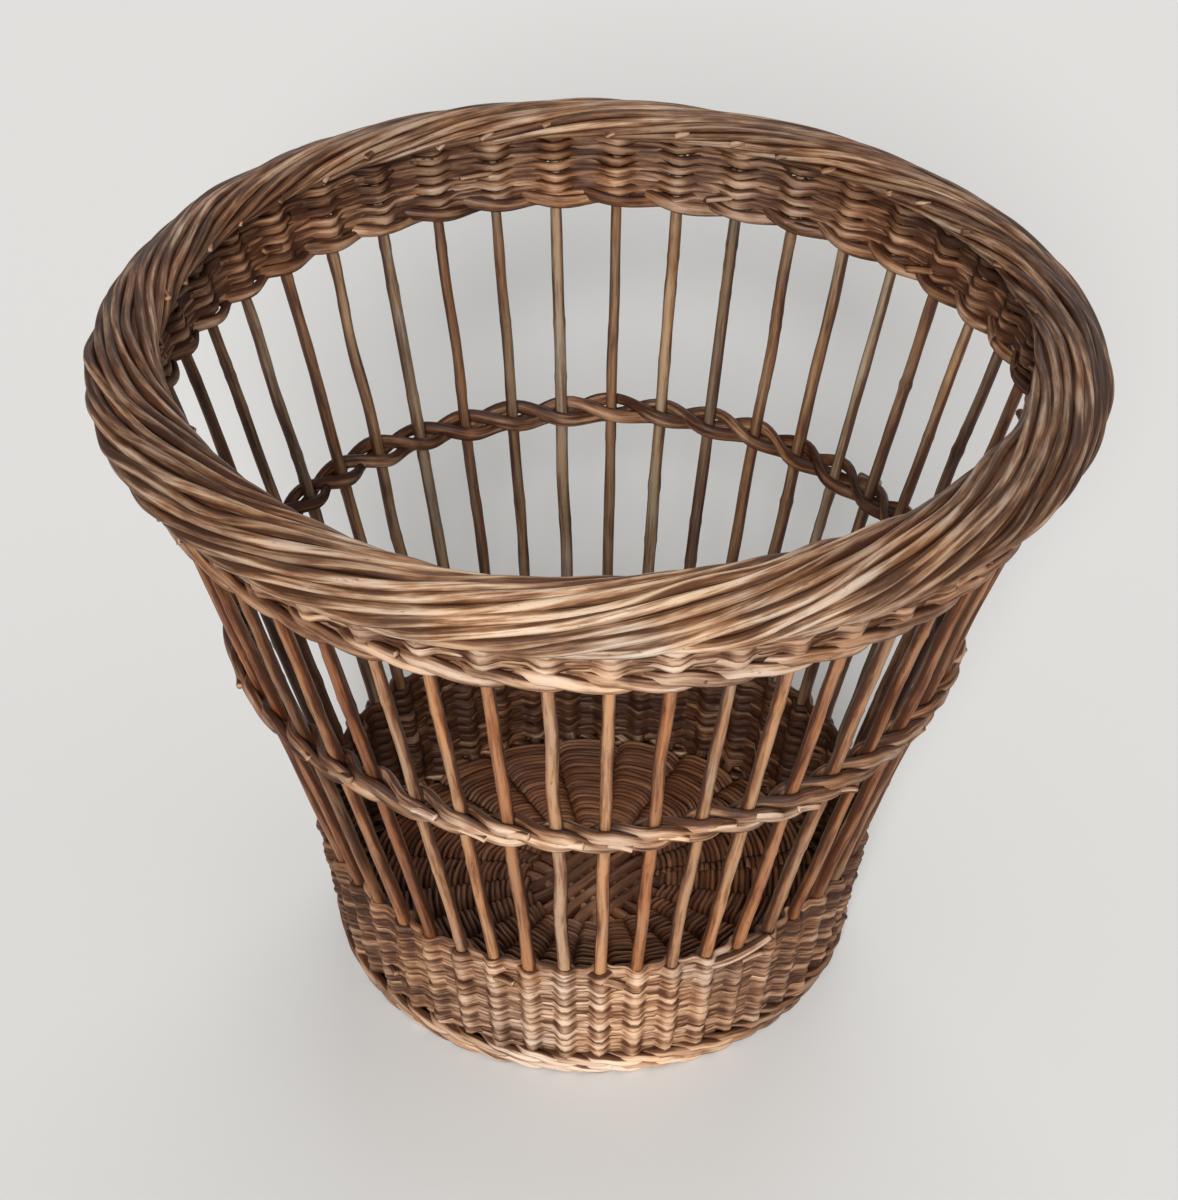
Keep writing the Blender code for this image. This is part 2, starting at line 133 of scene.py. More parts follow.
def willow_rods(
    name, paths, radii, face_way, finish, rng, sides=8, one_face=False, tall=1.0, rub_and_light=1.0, joins=1
):
    """Round rods swept along paths, as one mesh with closed ends.

    A corner of a ring is path + radius * (cos(a) * lift + tall * sin(a) * side). Lift is the
    face direction made square to the path, and side is square to both, so a tall rod is oval.
    Each corner keeps four marks. The lay says where it lies on its rod. The wear and light is how
    squarely it looks along the face direction, or against it too unless only one face is rubbed,
    times the rub and light given and the painted light of its place, which is paler at the
    basket's front and back than at its sides. Where it is high the rod is worn paler, and where it
    is low, on the flanks and in the grooves, it has grime and painted shade. The tone is by chance
    for each of the rods that follow one another on a path, and higher at the front as painted
    light. The inside is how much it looks against the face direction. The middle of a cut end
    counts as well worn, because fresh wood is pale.
    """
    count, points = radii.shape
    tangent = np.gradient(paths, axis=1)
    tangent /= np.linalg.norm(tangent, axis=2, keepdims=True)
    lift = face_way - (face_way * tangent).sum(2, keepdims=True) * tangent
    lift /= np.linalg.norm(lift, axis=2, keepdims=True)
    side = np.cross(tangent, lift)
    angle = np.arange(sides) * 2 * np.pi / sides
    cosine = np.cos(angle)[:, None]
    sine = np.sin(angle)[:, None]
    ring = cosine * lift[:, :, None] + sine * side[:, :, None]
    stretched = cosine * lift[:, :, None] + tall * sine * side[:, :, None]
    corners = paths[:, :, None] + radii[:, :, None, None] * stretched
    ends = paths[:, [0, -1]]

    row = np.arange(count * points * sides).reshape(count, points, sides)
    turned = np.roll(row, -1, 2)
    quads = np.stack([row[:, :-1], turned[:, :-1], turned[:, 1:], row[:, 1:]], -1).reshape(-1, 4)
    poles = row.size + np.arange(count * 2).reshape(count, 2, 1) + np.zeros((1, 1, sides), int)
    first = np.stack([poles[:, 0], turned[:, 0], row[:, 0]], -1).reshape(-1, 3)
    last = np.stack([poles[:, 1], row[:, -1], turned[:, -1]], -1).reshape(-1, 3)

    step = np.linalg.norm(np.diff(paths, axis=1), axis=2)
    run = np.concatenate([np.zeros((count, 1)), np.cumsum(step, 1)], 1)
    run = run + rng.uniform(0, FIBRES_ALONG, (count, 1))
    lay = np.empty(corners.shape)
    lay[..., 0] = radii[:, :, None] * np.cos(angle)
    lay[..., 1] = radii[:, :, None] * np.sin(angle)
    lay[..., 2] = run[:, :, None]
    lay[..., :2] += rng.uniform(-FIBRES_ACROSS, FIBRES_ACROSS, (count, 1, 1, 2))
    # Paler where the rod faces out and is worn, darker on its flanks and in the grooves with grime
    # and painted shade.
    wear_and_light = (ring * face_way[:, :, None]).sum(3)
    inside = np.clip(0.5 - INSIDE_TURN * wear_and_light, 0, 1)
    wear_and_light = np.clip(wear_and_light, HIDDEN_FACE, 1) if one_face else np.abs(wear_and_light)
    facing = paths[..., 1] / np.maximum(np.hypot(paths[..., 0], paths[..., 1]), AXIS_CLEAR)
    # Painted light by place: rods are paler at the basket's front and back than at its sides.
    painted_place_light = SIDE_PAINTED_LIGHT + FRONT_AND_BACK_PAINTED_LIGHT * facing ** 2 - BACK_PAINTED_LIGHT_LOSS * np.maximum(facing, 0)
    wear_and_light = wear_and_light * (rub_and_light * painted_place_light)[:, :, None]
    # Painted light: the tone is raised at the front of the basket.
    painted_front_light = (0.5 - 0.5 * facing) ** FRONT_LIGHT_NARROWNESS
    chance = rng.uniform(0, 1, (count, joins))[:, np.arange(points) * joins // points]
    tone = CHANCE_TONE * chance + FRONT_PAINTED_LIGHT * painted_front_light
    tone = np.broadcast_to(tone[:, :, None], wear_and_light.shape)

    def with_ends(values, extra=0.0):
        """The values at every corner, and after them their means at both ends of every rod."""
        middle = values[:, [0, -1]].mean(2) + extra
        tail = values.shape[3:]
        return np.concatenate([values.reshape((-1,) + tail), middle.reshape((-1,) + tail)])

    where = np.concatenate([corners.reshape(-1, 3), ends.reshape(-1, 3)])
    marks = {
        "lay": with_ends(lay),
        "wear_and_light": with_ends(wear_and_light, CUT_FACE),
        "tone": with_ends(tone),
        "inside": with_ends(inside),
    }
    return willow_piece(name, where, quads.tolist() + first.tolist() + last.tolist(), marks, finish)


def dress(piece, node):
    """The piece rides on the basket and stands for a CAD node, which is hidden."""
    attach(piece, "root")
    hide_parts(node)


FIBRE_NOISE = (850, 42, 5)  # how fine it is across the rod and along it, and its detail
PATCH_NOISE = (160, 34, 3)
FLECK_NOISE = (900, 260, 2)
NOISE_CRISPNESS = 0.62
NOISE_MEAN = 0.5
PATCH_WEAR = 1.9  # how much patches and fibres change the wear and light
FIBRE_WEAR = 2.3
GRIME_AND_SHADE_TO_SKIN = (0.22, 0.80)  # the wear and light where grime and painted shade start to give way, and where all is skin
SKIN_TO_WORN = (0.66, 1.30)
PLAIN_BARE = 0.5  # a willow that is barer than this turns into worn wood at less wear and light
FLECK_EDGE = (0.66, 0.74)
FLECK_DEPTH = 0.55
TONE_TINTS = (  # what the skin is multiplied by, from the lowest tone to the highest, which chance and painted front light give
    (0.00, (0.38, 0.28, 0.21)),
    (0.35, (0.69, 0.585, 0.505)),
    (0.65, (0.97, 0.92, 0.88)),
    (1.00, (1.15, 1.16, 1.17)),
)
FADED = (0.90, 1.28, 1.66, 1)  # what it is multiplied by where it has faded,
GREYISH = (0.95, 1.01, 1.09, 1)  # and in blotches of two kinds
ORANGE = (1.06, 0.97, 0.85, 1)
BLOTCH_FINENESS = 26
BLOTCH_DETAIL = 3
BLOTCH_EDGE = (0.36, 0.64)
FIBRE_EDGE = (0.3, 0.7)
ROUGHEST = 0.68  # between the fibres, and on them
SMOOTHEST = 0.42
PATCH_GRAIN = 0.8  # how high the patches are in the grain, beside the fibres' 1


def willow_skin_group():
    """Shader group for a willow rod's skin.

    The lay is stretched so that noise runs in fibres along the rod. Wear and light, fibres and
    patches together choose between the grime and painted shade of the grooves and flanks, the
    skin and the worn outer face. The rod's tone, by chance and with painted light at the front,
    makes the whole darker or paler, and where it has faded it is greyer. Blotches a few
    centimetres across lean to orange or to grey.
    """
    group = bpy.data.node_groups.new("willow_skin", "ShaderNodeTree")
    for name, way, kind in (
        ("Worn", "INPUT", "Color"), ("Skin", "INPUT", "Color"), ("Grime_and_shade", "INPUT", "Color"),
        ("Lay", "INPUT", "Vector"), ("Wear_and_light", "INPUT", "Float"), ("Tone", "INPUT", "Float"),
        ("Bare", "INPUT", "Float"), ("Fade", "INPUT", "Float"),
        ("Color", "OUTPUT", "Color"), ("Roughness", "OUTPUT", "Float"), ("Grain", "OUTPUT", "Float"),
    ):
        group.interface.new_socket(name, in_out=way, socket_type="NodeSocket" + kind)
    nodes, links = group.nodes, group.links
    given = nodes.new("NodeGroupInput").outputs
    result = nodes.new("NodeGroupOutput").inputs

    def feed(socket, value):
        """Sets a socket to a number or a colour, or links it to another node's output."""
        if isinstance(value, bpy.types.NodeSocket):
            links.new(value, socket)
        else:
            socket.default_value = value

    def noise(across, along, detail):
        """Noise on the lay, as fine as said across and along the rod."""
        stretch = nodes.new("ShaderNodeVectorMath")
        stretch.operation = "MULTIPLY"
        stretch.inputs[1].default_value = (across, across, along)
        links.new(given["Lay"], stretch.inputs[0])
        texture = nodes.new("ShaderNodeTexNoise")
        texture.inputs["Scale"].default_value = 1
        texture.inputs["Detail"].default_value = detail
        texture.inputs["Roughness"].default_value = NOISE_CRISPNESS
        links.new(stretch.outputs["Vector"], texture.inputs["Vector"])
        return texture.outputs["Fac"]

    def ramp(value, edge, to_low=0.0, to_high=1.0):
        """A smooth step from one number to another, while the value crosses an edge."""
        spread = nodes.new("ShaderNodeMapRange")
        spread.interpolation_type = "SMOOTHSTEP"
        feed(spread.inputs["Value"], value)
        feed(spread.inputs["From Min"], edge[0])
        feed(spread.inputs["From Max"], edge[1])
        feed(spread.inputs["To Min"], to_low)
        feed(spread.inputs["To Max"], to_high)
        return spread.outputs["Result"]

    def reckon(kind, a, b):
        """The sum, difference or product of two values."""
        node = nodes.new("ShaderNodeMath")
        node.operation = kind
        feed(node.inputs[0], a)
        feed(node.inputs[1], b)
        return node.outputs["Value"]

    def lay_over(kind, share, a, b):
        """Colour b over colour a, mixed with it or multiplied by it, by a share."""
        node = nodes.new("ShaderNodeMix")
        node.data_type = "RGBA"
        node.blend_type = kind
        feed(node.inputs["Factor"], share)
        feed(node.inputs["A"], a)
        feed(node.inputs["B"], b)
        return node.outputs["Result"]

    fibre = noise(*FIBRE_NOISE)
    patch = noise(*PATCH_NOISE)
    fleck = noise(*FLECK_NOISE)
    uneven = reckon("MULTIPLY", reckon("SUBTRACT", patch, NOISE_MEAN), PATCH_WEAR)
    streak = reckon("MULTIPLY", reckon("SUBTRACT", fibre, NOISE_MEAN), FIBRE_WEAR)
    # Low wear and light shows grime and painted shade, high wear and light shows worn wood.
    worn_and_lit = reckon("ADD", reckon("ADD", given["Wear_and_light"], uneven), streak)
    shown = lay_over("MIX", ramp(worn_and_lit, GRIME_AND_SHADE_TO_SKIN), given["Grime_and_shade"], given["Skin"])
    bare = reckon("ADD", worn_and_lit, reckon("SUBTRACT", given["Bare"], PLAIN_BARE))
    shown = lay_over("MIX", ramp(bare, SKIN_TO_WORN), shown, given["Worn"])
    shown = lay_over("MIX", ramp(fleck, FLECK_EDGE, 0.0, FLECK_DEPTH), shown, given["Grime_and_shade"])
    tint = nodes.new("ShaderNodeValToRGB")
    while len(tint.color_ramp.elements) < len(TONE_TINTS):
        tint.color_ramp.elements.new(0.5)
    for element, (place, colour) in zip(tint.color_ramp.elements, TONE_TINTS):
        element.position = place
        element.color = (*colour, 1)
    links.new(given["Tone"], tint.inputs["Fac"])
    shown = lay_over("MULTIPLY", 1.0, shown, tint.outputs["Color"])
    shown = lay_over("MULTIPLY", given["Fade"], shown, FADED)
    spot = nodes.new("ShaderNodeTexCoord")
    blotch = nodes.new("ShaderNodeTexNoise")
    blotch.inputs["Scale"].default_value = BLOTCH_FINENESS
    blotch.inputs["Detail"].default_value = BLOTCH_DETAIL
    links.new(spot.outputs["Object"], blotch.inputs["Vector"])
    hue = lay_over("MIX", ramp(blotch.outputs["Fac"], BLOTCH_EDGE), GREYISH, ORANGE)
    links.new(lay_over("MULTIPLY", 1.0, shown, hue), result["Color"])
    links.new(ramp(fibre, FIBRE_EDGE, ROUGHEST, SMOOTHEST), result["Roughness"])
    links.new(reckon("ADD", fibre, reckon("MULTIPLY", patch, PATCH_GRAIN)), result["Grain"])
    return group


willow_skin = willow_skin_group()


def willow_finish(name, worn_and_lit, skin, grime_and_shade, bare=PLAIN_BARE, fades=False):
    """A willow material: the skin group with its own colours, on a Principled surface. One that
    fades is greyer on the side of the rod that looks into the basket."""
    material = bpy.data.materials.new(name)
    material.use_nodes = True
    nodes, links = material.node_tree.nodes, material.node_tree.links
    surface = nodes["Principled BSDF"]
    skin_node = nodes.new("ShaderNodeGroup")
    skin_node.node_tree = willow_skin
    skin_node.inputs["Worn"].default_value = (*worn_and_lit, 1)
    skin_node.inputs["Skin"].default_value = (*skin, 1)
    skin_node.inputs["Grime_and_shade"].default_value = (*grime_and_shade, 1)
    skin_node.inputs["Bare"].default_value = bare
    reads = [("lay", "Lay", "Vector"), ("wear_and_light", "Wear_and_light", "Fac"), ("tone", "Tone", "Fac")]
    if fades:
        reads.append(("inside", "Fade", "Fac"))
    for attribute, socket, output in reads:
        read = nodes.new("ShaderNodeAttribute")
        read.attribute_name = attribute
        links.new(read.outputs[output], skin_node.inputs[socket])
    surface.inputs["Specular IOR Level"].default_value = 0.28
    bump = nodes.new("ShaderNodeBump")
    bump.inputs["Strength"].default_value = 0.8
    bump.inputs["Distance"].default_value = 0.0005
    links.new(skin_node.outputs["Grain"], bump.inputs["Height"])
    links.new(skin_node.outputs["Color"], surface.inputs["Base Color"])
    links.new(skin_node.outputs["Roughness"], surface.inputs["Roughness"])
    links.new(bump.outputs["Normal"], surface.inputs["Normal"])
    return material


dark_willow = willow_finish(
    "dark_willow", worn_and_lit=(0.410, 0.220, 0.121), skin=(0.285, 0.133, 0.067), grime_and_shade=(0.128, 0.050, 0.023)
)

slath_angle = float(stake_turn(SLIT_STICKS - 0.5))
slath_along = np.array([math.cos(slath_angle), math.sin(slath_angle), 0])
slath_across = np.array([-slath_along[1], slath_along[0], 0])


def stick_bends_and_tips():
    """Where each stick end starts to fan out from the cross, and where it ends, by number.

    The first half of the ends goes over the slit sticks' and then the through sticks' near
    ends, and the second half is the first one turned by half a round.
    """
    slit = (np.arange(SLIT_STICKS) - (SLIT_STICKS - 1) / 2)[:, None] * STICK_PITCH
    through = (np.arange(THROUGH_STICKS) - (THROUGH_STICKS - 1) / 2)[:, None] * STICK_PITCH
    slit_half = THROUGH_STICKS * STICK_PITCH / 2 + SLATH_MARGIN
    through_half = SLIT_STICKS * STICK_PITCH / 2 + STICK_THICKNESS / 2 + SLATH_MARGIN
    near = np.concatenate([
        slath_along * slit_half + slath_across * slit,
        slath_across * through_half - slath_along * through,
    ])
    bends = np.concatenate([near, -near])
    tips = ringed(stake_turn(2 * np.arange(STICK_ENDS) + 0.5), STICK_REACH, 0)
    return bends, tips


stick_bends, stick_tips = stick_bends_and_tips()


def bottom_stick(end, thin):
    """One stick from tip to tip through the cross, and its radius: less by the thin share in
    the cross, and full outside it, by a flat-topped bell curve of the distance from the axis."""
    half_round = STICK_ENDS // 2
    slit = end < SLIT_STICKS
    mirrored = SLIT_STICKS - 1 - end if slit else 2 * SLIT_STICKS + THROUGH_STICKS - 1 - end
    far = half_round + mirrored
    corners = [stick_tips[end], stick_bends[end], stick_bends[far], stick_tips[far]]
    path = softly_bent(corners, STICK_POINTS, STICK_EASE) + (0, 0, BASE_MIDDLE)
    middle = np.exp(-(np.linalg.norm(path[:, :2], axis=1) / SLATH_RADIUS) ** SLATH_EDGE)
    return path, STICK_THICKNESS / 2 * (1 - thin * middle)


def bottom_sticks(name, ends, thin, seed, node):
    """The sticks of one direction of the cross."""
    rng = np.random.default_rng(seed)
    made = [bottom_stick(end, thin) for end in ends]
    paths = np.array([path for path, _ in made])
    radii = np.array([radius for _, radius in made])
    radii = radii * (1 + STICK_UNEVEN * wander(rng, len(made), STICK_POINTS, waves=9))
    up = np.zeros_like(paths) + (0, 0, 1)
    piece = willow_rods(name, paths, radii, up, dark_willow, rng, sides=12)
    dress(piece, node)


slit_ends = range(SLIT_STICKS)
through_ends = range(SLIT_STICKS, SLIT_STICKS + THROUGH_STICKS)
bottom_sticks("slit_bottom_sticks", slit_ends, 0.0, 11, "slit_sticks")
bottom_sticks("through_bottom_sticks", through_ends, SHAVED_OFF, 12, "through_sticks")

# Floor. Pairs of thin dark rods are twisted round the sticks, one over while the other goes
# under, round after round from the cross to the edge.

FLOOR_ROD = 0.0023
FLOOR_ROUNDS = 28
FLOOR_FIRST = 0.0255
FLOOR_LAST = 0.0838
FLOOR_POINTS = 11
FLOOR_SQUARENESS = 2.6
FLOOR_PASSING = 0.0007
FLOOR_SIDEWAYS = 0.00025
FLOOR_UP_AND_DOWN = 0.0002
FLOOR_UNEVEN = 0.10


def stick_angles(radii):
    """Angles at which the fanned sticks cross circles of the given radii.

    A point on a stick is bend + distance * direction. Its distance from the axis is set equal
    to the circle's radius and the quadratic is solved for each circle and stick.
    """
    way = stick_tips - stick_bends
    way /= np.linalg.norm(way, axis=1, keepdims=True)
    half = (stick_bends * way).sum(1)
    short = (stick_bends ** 2).sum(1) - radii[:, None] ** 2
    far = -half + np.sqrt(np.maximum(half ** 2 - short, 0))
    points = stick_bends + far[..., None] * way
    return np.unwrap(np.arctan2(points[..., 1], points[..., 0]), axis=1)


def floor_pairs():
    """Both rods of each round: one goes up over even sticks and down under odd ones, with a
    cosine flattened by tanh, and a sine lets them pass each other between the sticks. Each
    round spirals out to where the next one begins."""
    rng = np.random.default_rng(21)
    rounds = np.linspace(FLOOR_FIRST, FLOOR_LAST, FLOOR_ROUNDS)
    pitch = rounds[1] - rounds[0]
    crossed = stick_angles(rounds)
    crossed = np.concatenate([crossed, crossed[:, :1] + 2 * np.pi], 1)
    count = STICK_ENDS * FLOOR_POINTS + 1
    at = np.linspace(0, STICK_ENDS, count)
    lower = np.minimum(at.astype(int), STICK_ENDS - 1)
    turn = crossed[:, lower] + (at - lower) * (crossed[:, lower + 1] - crossed[:, lower])
    wave = np.tanh(FLOOR_SQUARENESS * np.cos(np.pi * at)) / math.tanh(FLOOR_SQUARENESS)
    climb = STICK_THICKNESS / 2 + FLOOR_ROD / 2
    spiral = pitch * at / STICK_ENDS
    paths = []
    for sign in (1, -1):
        radius = rounds[:, None] + spiral - pitch / 2
        radius = radius + sign * FLOOR_PASSING * np.sin(np.pi * at)
        radius = radius + FLOOR_SIDEWAYS * wander(rng, FLOOR_ROUNDS, count, waves=14)
        height = BASE_MIDDLE + sign * climb * wave
        height = height + FLOOR_UP_AND_DOWN * wander(rng, FLOOR_ROUNDS, count, waves=20)
        paths.append(ringed(turn, radius, height))
    paths = np.concatenate(paths)
    radii = FLOOR_ROD / 2 * (1 + FLOOR_UNEVEN * wander(rng, len(paths), count, waves=16))
    up = np.zeros_like(paths) + (0, 0, 1)
    return willow_rods("floor_weave", paths, radii, up, dark_willow, rng, sides=6)


dress(floor_pairs(), "base_weave")

# Stakes. Forty-five willow rods lie beside the stick ends, bend up sharply at the edge and run
# up to the border. Browned bark and painted shade darken their flanks, and their faces are worn
# paler.

STAKE_THICKNESS = 0.0045
STAKE_LEG_START = 0.0686
STAKE_LEG_GAP = 0.0003
STAKE_PAST_STICK = 0.0016
EDGE_IN = 0.00506
STAKE_TOP = 0.2425
FOOT_RADIUS = 0.0895
WAIST_RADIUS = 0.0985
WAIST_HEIGHT = 0.056
FLARE = 0.31366
MID_WALE = 0.1387
UPPER_WALE_LOW = 0.2150
STAKE_POINTS = 100
STAKE_EASE = 5
STAKE_SIDEWAYS = 0.00038
STAKE_IN_AND_OUT = 0.00030
STAKE_BUTT = 1.03
STAKE_TAPER = 0.10
STAKE_SIZES = (0.92, 1.06)
STAKE_UNEVEN = 0.03
KNOTS = 6
LOWEST_KNOT = 0.25
KNOT_LENGTH = 0.006
KNOT_SWELL = 0.10
STAKE_RUB_AND_LIGHT = 1.30

stake_finishes = (
    willow_finish(
        "stake_tan", worn_and_lit=(0.450, 0.245, 0.125), skin=(0.265, 0.112, 0.047),
        grime_and_shade=(0.090, 0.028, 0.011), fades=True,
    ),
    willow_finish(
        "stake_brown", worn_and_lit=(0.400, 0.190, 0.088), skin=(0.238, 0.092, 0.037),
        grime_and_shade=(0.080, 0.024, 0.009), fades=True,
    ),
    willow_finish(
        "stake_grey", worn_and_lit=(0.425, 0.258, 0.152), skin=(0.240, 0.120, 0.062),
        grime_and_shade=(0.085, 0.031, 0.014), fades=True,
    ),
)


def wall_radius(height):
    """Distance of the stakes from the axis: one slope up to the waist, a wider one above it."""
    height = np.asarray(height, float)
    low = FOOT_RADIUS + (WAIST_RADIUS - FOOT_RADIUS) * height / WAIST_HEIGHT
    return np.where(height < WAIST_HEIGHT, low, WAIST_RADIUS + FLARE * (height - WAIST_HEIGHT))


def outward(points):
    """Level unit vectors from the axis to the points."""
    level = points * (1, 1, 0)
    return level / np.linalg.norm(level, axis=-1, keepdims=True)


def leg_of(stake):
    """A stake's leg in the floor: a line beside its stick end, or a radial one if it is alone."""
    end = stake // 2
    if end < STICK_ENDS:
        tip = stick_tips[end]
        way = tip - stick_bends[end]
        way = way / np.linalg.norm(way)
        beside = (2 * (stake % 2) - 1) * (STICK_THICKNESS / 2 + STAKE_THICKNESS / 2 + STAKE_LEG_GAP)
    else:
        tip = ringed(stake_turn(stake), STICK_REACH, 0)
        way = tip / np.linalg.norm(tip)
        beside = 0
    line = tip + beside * np.array([-way[1], way[0], 0]) + (0, 0, BASE_MIDDLE)
    return line + way * (STAKE_LEG_START - STICK_REACH), line + way * STAKE_PAST_STICK


def free_of_weave(height):
    """How free a stake is to stand crooked: none in the weave, most midway between bands."""
    low = np.sin(np.pi * np.clip((height - WAIST_HEIGHT) / (MID_WALE - WAIST_HEIGHT), 0, 1))
    high = np.sin(np.pi * np.clip((height - MID_WALE) / (UPPER_WALE_LOW - MID_WALE), 0, 1))
    return low + high


def upright_stake(stake):
    """A stake's path along its leg, round the edge and up the wall, with its own crooks, and
    its radius: an even taper, some waviness, and a bell curve for each bud knot."""
    rng = np.random.default_rng(300 + stake)
    start, edge = leg_of(stake)
    turn = float(stake_turn(stake))
    corners = [start, edge]
    for height in (BASE_MIDDLE + EDGE_IN, WAIST_HEIGHT, STAKE_TOP):
        corners.append(ringed(turn, wall_radius(height), height))
    path = softly_bent(corners, STAKE_POINTS, STAKE_EASE)
    share = np.linspace(0, 1, STAKE_POINTS)
    free = free_of_weave(path[:, 2])
    sideways = STAKE_SIDEWAYS * wander(rng, 1, STAKE_POINTS, waves=4)[0] * free
    inward = STAKE_IN_AND_OUT * wander(rng, 1, STAKE_POINTS, waves=4)[0] * free
    round_way = np.array([-math.sin(turn), math.cos(turn), 0])
    path = path + sideways[:, None] * round_way + inward[:, None] * outward(path)
    knots = rng.uniform(LOWEST_KNOT, 1, KNOTS)[:, None]
    bump = np.exp(-((share - knots) / KNOT_LENGTH) ** 2).sum(0)
    thickness = STAKE_THICKNESS * (STAKE_BUTT - STAKE_TAPER * share) * rng.uniform(*STAKE_SIZES)
    uneven = STAKE_UNEVEN * wander(rng, 1, STAKE_POINTS, waves=16)[0]
    radius = thickness / 2 * (1 + uneven + KNOT_SWELL * bump)
    return path[None], radius[None]


for stake in range(STAKES):
    path, radius = upright_stake(stake)
    rng = np.random.default_rng(400 + stake)
    piece = willow_rods(
        "stake_rod_%02d" % (stake + 1), path, radius, outward(path), stake_finishes[stake % 3], rng,
        sides=12, rub_and_light=STAKE_RUB_AND_LIGHT,
    )
    dress(piece, "stake_%02d" % (stake + 1))

# Foot and low band. Two rounds of waling in thick pale willow are the foot that the basket stands
# on. Above them thin browned rods go in front of one stake and behind the next, round after round.

FOOT_ROD = 0.0035
WALE_POINTS = 8
WALE_SWELL = 0.10
WALE_UNEVEN = 0.10
LOW_ROWS = 25
LOW_BAND_START = 0.0086
LOW_BULGE_HIGHLIGHT = 0.36
ROW_ROD = 0.0027
ROW_PITCH = 0.0018
ROW_REACH = 22
ROW_POINTS = 11
ROW_OVERLAP = 0.35
ROW_SWING = 0.0020
ROW_SWING_VARIES = 0.12
ROW_UP_AND_DOWN = 0.00032
ROW_SIZES = (0.86, 1.12)
ROW_UNEVEN = 0.09
ROW_TALL = 1.58
# Painted highlight where a row bulges over a stake, painted shade in the dips between, and painted
# light that is least at the basket's sides.
ROW_DIP_PAINTED_SHADE = 0.45
ROW_SIDE_PAINTED_LIGHT = 0.82
ROW_FRONT_PAINTED_LIGHT = 0.18

pale_willow = willow_finish(
    "pale_willow", worn_and_lit=(0.63, 0.46, 0.335), skin=(0.31, 0.172, 0.097), grime_and_shade=(0.070, 0.026, 0.011),
    bare=0.56,
)
band_willow = willow_finish(
    "band_willow", worn_and_lit=(0.60, 0.44, 0.325), skin=(0.31, 0.170, 0.096), grime_and_shade=(0.075, 0.029, 0.012),
    bare=0.58,
)
foot_willow = willow_finish(
    "foot_willow", worn_and_lit=(0.72, 0.545, 0.405), skin=(0.38, 0.220, 0.130), grime_and_shade=(0.090, 0.036, 0.015),
    bare=0.66,
)


def waling_paths(middle, rise, touch, sway, loose, rng):
    """Three rods twined round the stakes, each one stake behind the last.

    Over three stakes a rod swings from behind one to before the next with half a cosine,
    crosses the front of two with a slow swell, and swings back. It lies high on the first of
    the two and low on the second, and passes from one to the other with half a cosine. The
    sway lifts or lowers the round by millimetres at given degrees, and evenly between them.
    """
    at = np.linspace(0, STAKES, STAKES * WALE_POINTS + 1)
    phase = at % 3
    out = np.select(
        [phase < 1, phase < 2],
        [-np.cos(np.pi * phase), 1 + WALE_SWELL * np.sin(np.pi * (phase - 1)) ** 2],
        np.cos(np.pi * (phase - 2)),
    )
    up = np.select(
        [phase < 1, phase < 2],
        [np.sin(np.pi / 2 * phase), np.cos(np.pi * (phase - 1))],
        -np.cos(np.pi / 2 * (phase - 2)),
    )
    turn = stake_turn(at + np.arange(3)[:, None])
    places, shifts = np.array(sway, float).T
    bent = np.interp(np.degrees(turn), places, shifts, period=360) / 1000
    height = middle + bent + rise * up + loose * wander(rng, 3, len(at), waves=18)
    return ringed(turn, wall_radius(height) + touch * out, height)


def wale_rods(
    names, nodes, finish, seed, middle, thickness, rise, touch,
    sway=((0, 0),), loose=0.0004, tall=1.0, rub_and_light=1.0, joins=5,
):
    """The three rods of a round of waling, each a piece of its own, none lower than the ground."""
    rng = np.random.default_rng(seed)
    paths = waling_paths(middle, rise, touch, sway, loose, rng)
    radii = thickness / 2 * (1 + WALE_UNEVEN * wander(rng, 3, paths.shape[1], waves=40))
    paths[..., 2] = np.maximum(paths[..., 2], radii)
    for rod, (name, node) in enumerate(zip(names, nodes)):
        path = paths[rod:rod + 1]
        piece = willow_rods(
            name, path, radii[rod:rod + 1], outward(path), finish, rng,
            sides=12, tall=tall, rub_and_light=rub_and_light, joins=joins,
        )
        dress(piece, node)


wale_rods(
    ("foot_wale_rod_1", "foot_wale_rod_2", "foot_wale_rod_3"), ("low_band",) * 3,
    foot_willow, seed=31, middle=0.0027, thickness=FOOT_ROD, rise=0.0010, touch=0.0022,
)
wale_rods(
    ("foot_wale_rod_4", "foot_wale_rod_5", "foot_wale_rod_6"), ("low_band",) * 3,
    foot_willow, seed=32, middle=0.0071, thickness=FOOT_ROD, rise=0.0012, touch=0.0032,
)


